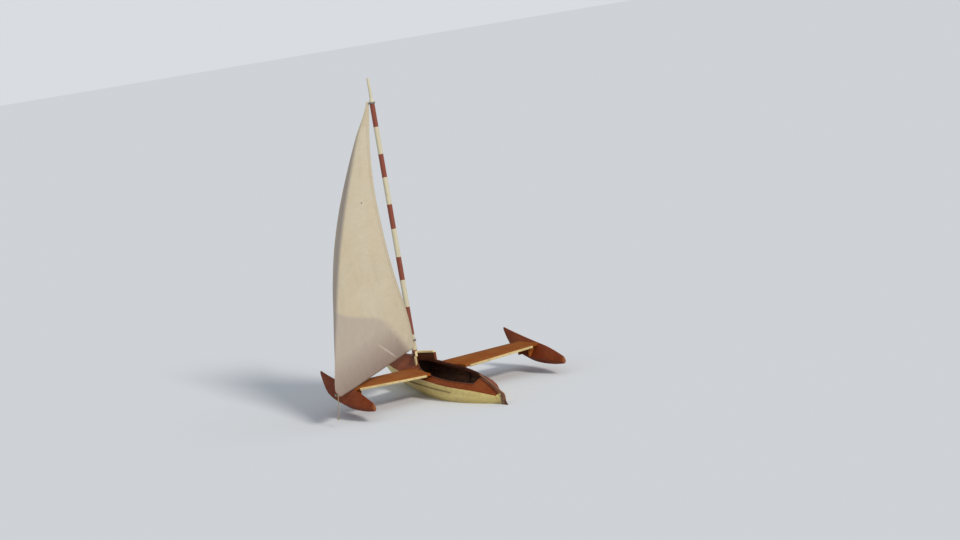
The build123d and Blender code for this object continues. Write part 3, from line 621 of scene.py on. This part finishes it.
def chord_at(angle):
    """Direction out along the sail's chord, level, at an angle from straight aft."""
    return Vector((-math.cos(angle), math.sin(angle), 0))


def edges_at(u):
    """Luff and leech at a share of the sail's height, on a smooth curve through the rows."""
    last = len(SAIL_EDGES) - 1
    k = min(int(u * last), last - 1)
    t = u * last - k
    rows = [SAIL_EDGES[min(max(k + step, 0), last)] for step in (-1, 0, 1, 2)]
    return [
        b + 0.5 * t * (c - a + t * (2 * a - 5 * b + 4 * c - d + t * (3 * (b - c) + d - a)))
        for a, b, c, d in zip(*rows)
    ]


def sail_point(u, s):
    """Point of the sail at a share u up its luff and a share s out along its chord."""
    turn = math.radians(FOOT_ANGLE + TWIST * u)
    camber = FOOT_CAMBER + (CAMBER - FOOT_CAMBER) * min(1.0, u / CAMBER_FULL_AT)
    luff, leech = edges_at(u)
    bow = 4 * s * (1 - s)

    # The foot's round dies out quickly upwards, and the belly is fuller towards the luff
    z = (TACK + u * (HEAD - TACK)) * (1 - s) + (CLEW + u * (HEAD - CLEW)) * s
    z -= FOOT_ROUND * bow * (1 - u) ** 8
    out = luff + s * (leech - luff)
    belly = camber * (leech - luff) * bow * (1.25 - 0.5 * s)
    aside = TACK_ASIDE * max(0.0, 1 - u / ASIDE_UP_TO) * (1 - s) - belly
    curled = min(max((z - CURL_FROM) / (CURL_TO - CURL_FROM), 0.0), 1.0)
    curl = CURL_WIDE * math.sin(math.pi * curled)
    turned = CURL_AWAY * max(0.0, curl - (1 - s) * (leech - luff))
    across = Vector((-math.sin(turn), -math.cos(turn), 0))
    return mast_axis(z) + chord_at(turn) * (out - turned) + across * (aside - turned)


def round_corner(bm, height, out, radius, start, end):
    """Cuts a corner of the sail to an arc, by straight cuts square to the cloth."""
    along = chord_at(math.radians(FOOT_ANGLE))
    centre = mast_axis(height) + along * out
    for degrees in range(start, end + 1, ARC_STEP):
        turn = math.radians(degrees)
        away = along * math.cos(turn) + Vector((0, 0, 1)) * math.sin(turn)
        geometry = list(bm.verts) + list(bm.edges) + list(bm.faces)
        bmesh.ops.bisect_plane(bm, geom=geometry, plane_co=centre + away * radius, plane_no=away,
                               clear_outer=True)


def cut_sail():
    """Sail as one curved sheet, with its corners rounded off at the tack and the clew."""
    bm = bmesh.new()
    bmesh.ops.create_grid(bm, x_segments=FACES_OUT, y_segments=FACES_UP, size=0.5)
    cloth, rim = bm.loops.layers.uv.new("cloth"), bm.loops.layers.uv.new("rim")
    for face in bm.faces:
        face.smooth = True
        for loop in face.loops:
            s, u = loop.vert.co.x + 0.5, loop.vert.co.y + 0.5
            luff, leech = edges_at(u)
            loop[cloth].uv = (s * (leech - luff), u * (HEAD - TACK))
            loop[rim].uv = ((1 - s) * (leech - luff), (1 - u) * (HEAD - TACK))
    for vert in bm.verts:
        vert.co = sail_point(vert.co.y + 0.5, vert.co.x + 0.5)
    bmesh.ops.recalc_face_normals(bm, faces=bm.faces)
    round_corner(bm, *CLEW_ARC)
    round_corner(bm, *TACK_ARC)
    mesh = mesh_of("sail_cloth", bm, sailcloth())
    sail = new_object("sail_cloth", mesh, "sail")
    thick = sail.modifiers.new("cloth", "SOLIDIFY")
    thick.thickness = CLOTH
    thick.offset = 0.0
    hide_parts("sail")


# Clew rope

def rope_curve(name, smooth):
    """Curve as thick as the rope, and the line in it that is still to get its points."""
    curve = bpy.data.curves.new(name, "CURVE")
    curve.dimensions = "3D"
    curve.bevel_depth = ROPE / 2
    curve.bevel_resolution = smooth
    curve.materials.append(HEMP)
    return curve, curve.splines.new("NURBS")


def hang_rope():
    """Short rope made fast to the clew ring, with a stopper knot, upright while the boat heels."""
    curve, spline = rope_curve("clew_rope", smooth=5)
    curve.use_fill_caps = True
    top = CLEW_AT - Vector((0, 0, ROPE_TOP_DOWN))
    route = [
        top, top + Vector((0.004, 0.003, -0.040)), top + Vector((0.014, 0.010, -0.110)),
        top + Vector((0.016, 0.021, -0.190)), Vector((top.x + 0.030, top.y + 0.033, ROPE_END)),
    ]
    spline.points.add(len(route) - 1)
    for point, at in zip(spline.points, route):
        point.co = (*at, 1.0)
    spline.order_u = 3
    spline.use_endpoint_u = True
    rope = new_object("clew_rope", curve, "sail")
    knots = [tie_knot("rope_bend", route[0]), tie_knot("stopper_knot", route[-1])]


def tie_knot(name, at):
    """Overhand knot, drawn tight, as a closed three-lobed turn of the same rope."""
    curve, spline = rope_curve(name, smooth=4)
    spline.points.add(KNOT_POINTS - 1)
    for index, point in enumerate(spline.points):
        turn = 2 * math.pi * index / KNOT_POINTS
        lobe = Vector((
            math.sin(turn) + 2 * math.sin(2 * turn),
            math.cos(turn) - 2 * math.cos(2 * turn),
            -math.sin(3 * turn),
        ))
        point.co = (*(at + lobe * KNOT_LOBE), 1.0)
    spline.order_u = 3
    spline.use_cyclic_u = True
    return new_object(name, curve, "sail")


hang_rope()
cut_sail()


# Fastenings

def metal_heads(name, places, radius):
    """Heads of screws or nails, each a low cone with a flat top, turned at random."""
    bm = bmesh.new()
    for at, up in places:
        turn = up.to_track_quat("Z", "Y").to_matrix().to_4x4()
        spun = Matrix.Rotation(random.uniform(0, math.pi), 4, "Z")
        where = Matrix.Translation(at + up * HEAD_PROUD) @ turn @ spun
        bmesh.ops.create_cone(bm, cap_ends=True, segments=12, radius1=radius,
                              radius2=0.7 * radius, depth=HEAD_TALL, matrix=where)
    new_object(name, mesh_of(name, bm, STEEL))


def wing_top(y):
    """Height of the wing's upper face."""
    return WING_ROOT_TOP + WING_SLOPE * (abs(y) - WING_ROOT)


def wing_screws(sign):
    """Screws through the white edge strip, and through the board ahead of it."""
    tilt = Vector((0, -WING_SLOPE * sign, 1)).normalized()
    aft = Vector((-1, 0, 0))
    spots = []
    for k in range(SCREWS):
        y = sign * (SCREW_FROM + SCREW_SPACE * k)
        spots.append((Vector((WING_AFT, y, wing_top(y) - SCREW_DOWN)), aft))
        spots.append((Vector((WING_AFT + SCREW_AHEAD, y, wing_top(y))), tilt))
    return spots


def look_down(boards, x, y):
    """Point of a deck under a place, and the direction that its face looks in there."""
    return boards.ray_cast(Vector((x, y, 1)), Vector((0, 0, -1)))[:2]


def deck_nails(side, sign):
    """Nails along both edges of the decks, square to the sloping boards."""
    spots = []
    for stem in ("foredeck", "side_deck", "aft_deck"):
        node = NODES[f"{stem}_{side}"]
        corners = [node.matrix_world @ vert.co for vert in node.data.vertices]
        boards = BVHTree.FromPolygons(corners, [face.vertices for face in node.data.polygons])
        first, last = min(c.x for c in corners), max(c.x for c in corners)
        for k in range(int((last - first) / NAIL_SPACE)):
            x = first + (k + 0.5) * NAIL_SPACE
            looks = [look_down(boards, x, sign * LOOK_STEP * step)[0] for step in range(LOOKS)]
            across = [at.y * sign for at in looks if at] or [0.0]
            inner, outer = min(across), max(across)
            for y in (inner + NAIL_EDGE, outer - NAIL_EDGE):
                at, up = look_down(boards, x, sign * y)
                if at and outer - inner > 3 * NAIL_EDGE:
                    spots.append((at, up))
    return spots


random.seed(11)
for side, sign in (("port", 1), ("starboard", -1)):
    metal_heads(f"wing_screws_{side}", wing_screws(sign), SCREW_RADIUS)
    metal_heads(f"deck_nails_{side}", deck_nails(side, sign), NAIL_RADIUS)


# Floor, light and camera

def plain_floor():
    """Pale matt floor at the waterline, out to the horizon."""
    bm = bmesh.new()
    bmesh.ops.create_grid(bm, x_segments=1, y_segments=1, size=FLOOR_REACH)
    material, tree = new_material("pale_matt_floor")
    surface = add(tree, "BsdfDiffuse", {"Color": colour("DADDE1")})
    add(tree, "OutputMaterial", {"Surface": surface})
    new_object("floor", mesh_of("floor", bm, material), None)


def sun_light(name, towards, power, tint, soft):
    """Studio lamp as a sun that stands in a direction, soft by its width in degrees."""
    lamp = bpy.data.lights.new(name, "SUN")
    lamp.energy = power
    lamp.color = tint
    lamp.angle = math.radians(soft)
    lamp_object = bpy.data.objects.new(name, lamp)
    lamp_object.rotation_euler = Vector(towards).to_track_quat("Z", "Y").to_euler()
    bpy.context.scene.collection.objects.link(lamp_object)


def light_world():
    """Even sky light, with a backdrop as pale as the floor for the camera and for reflections."""
    world = bpy.data.worlds.new("studio")
    bpy.context.scene.world = world
    world.use_nodes = True
    tree = world.node_tree
    tree.nodes.clear()
    rays = add(tree, "LightPath").outputs
    seen = rays["Is Camera Ray"]
    for ray in ("Is Glossy Ray", "Is Transmission Ray"):
        seen = add(tree, "Math", {0: seen, 1: rays[ray]}, operation="MAXIMUM")
    sky = add(tree, "Background", {"Color": colour("E4E9F0"), "Strength": 0.62})
    backdrop = add(tree, "Background", {"Color": colour("D9DCE0"), "Strength": 1.0})
    surface = add(tree, "MixShader", {0: seen, 1: sky, 2: backdrop})
    add(tree, "OutputWorld", {"Surface": surface})


def set_camera():
    """Camera where the photograph was taken from."""
    camera = bpy.data.cameras.new("camera")
    camera.lens = LENS
    camera.clip_end = 1000
    camera_object = bpy.data.objects.new("camera", camera)
    back = CAMERA_RIGHT.cross(CAMERA_UP)
    turned = Matrix((CAMERA_RIGHT, CAMERA_UP, back)).transposed().to_4x4()
    camera_object.matrix_world = Matrix.Translation(CAMERA_AT) @ turned
    bpy.context.scene.collection.objects.link(camera_object)
    bpy.context.scene.camera = camera_object


plain_floor()
light_world()
sun_light("key", towards=(-0.82, -0.12, 0.55), power=2.3, tint=(1.0, 0.95, 0.87), soft=12)
set_camera()
bpy.context.scene.view_settings.view_transform = "Standard"
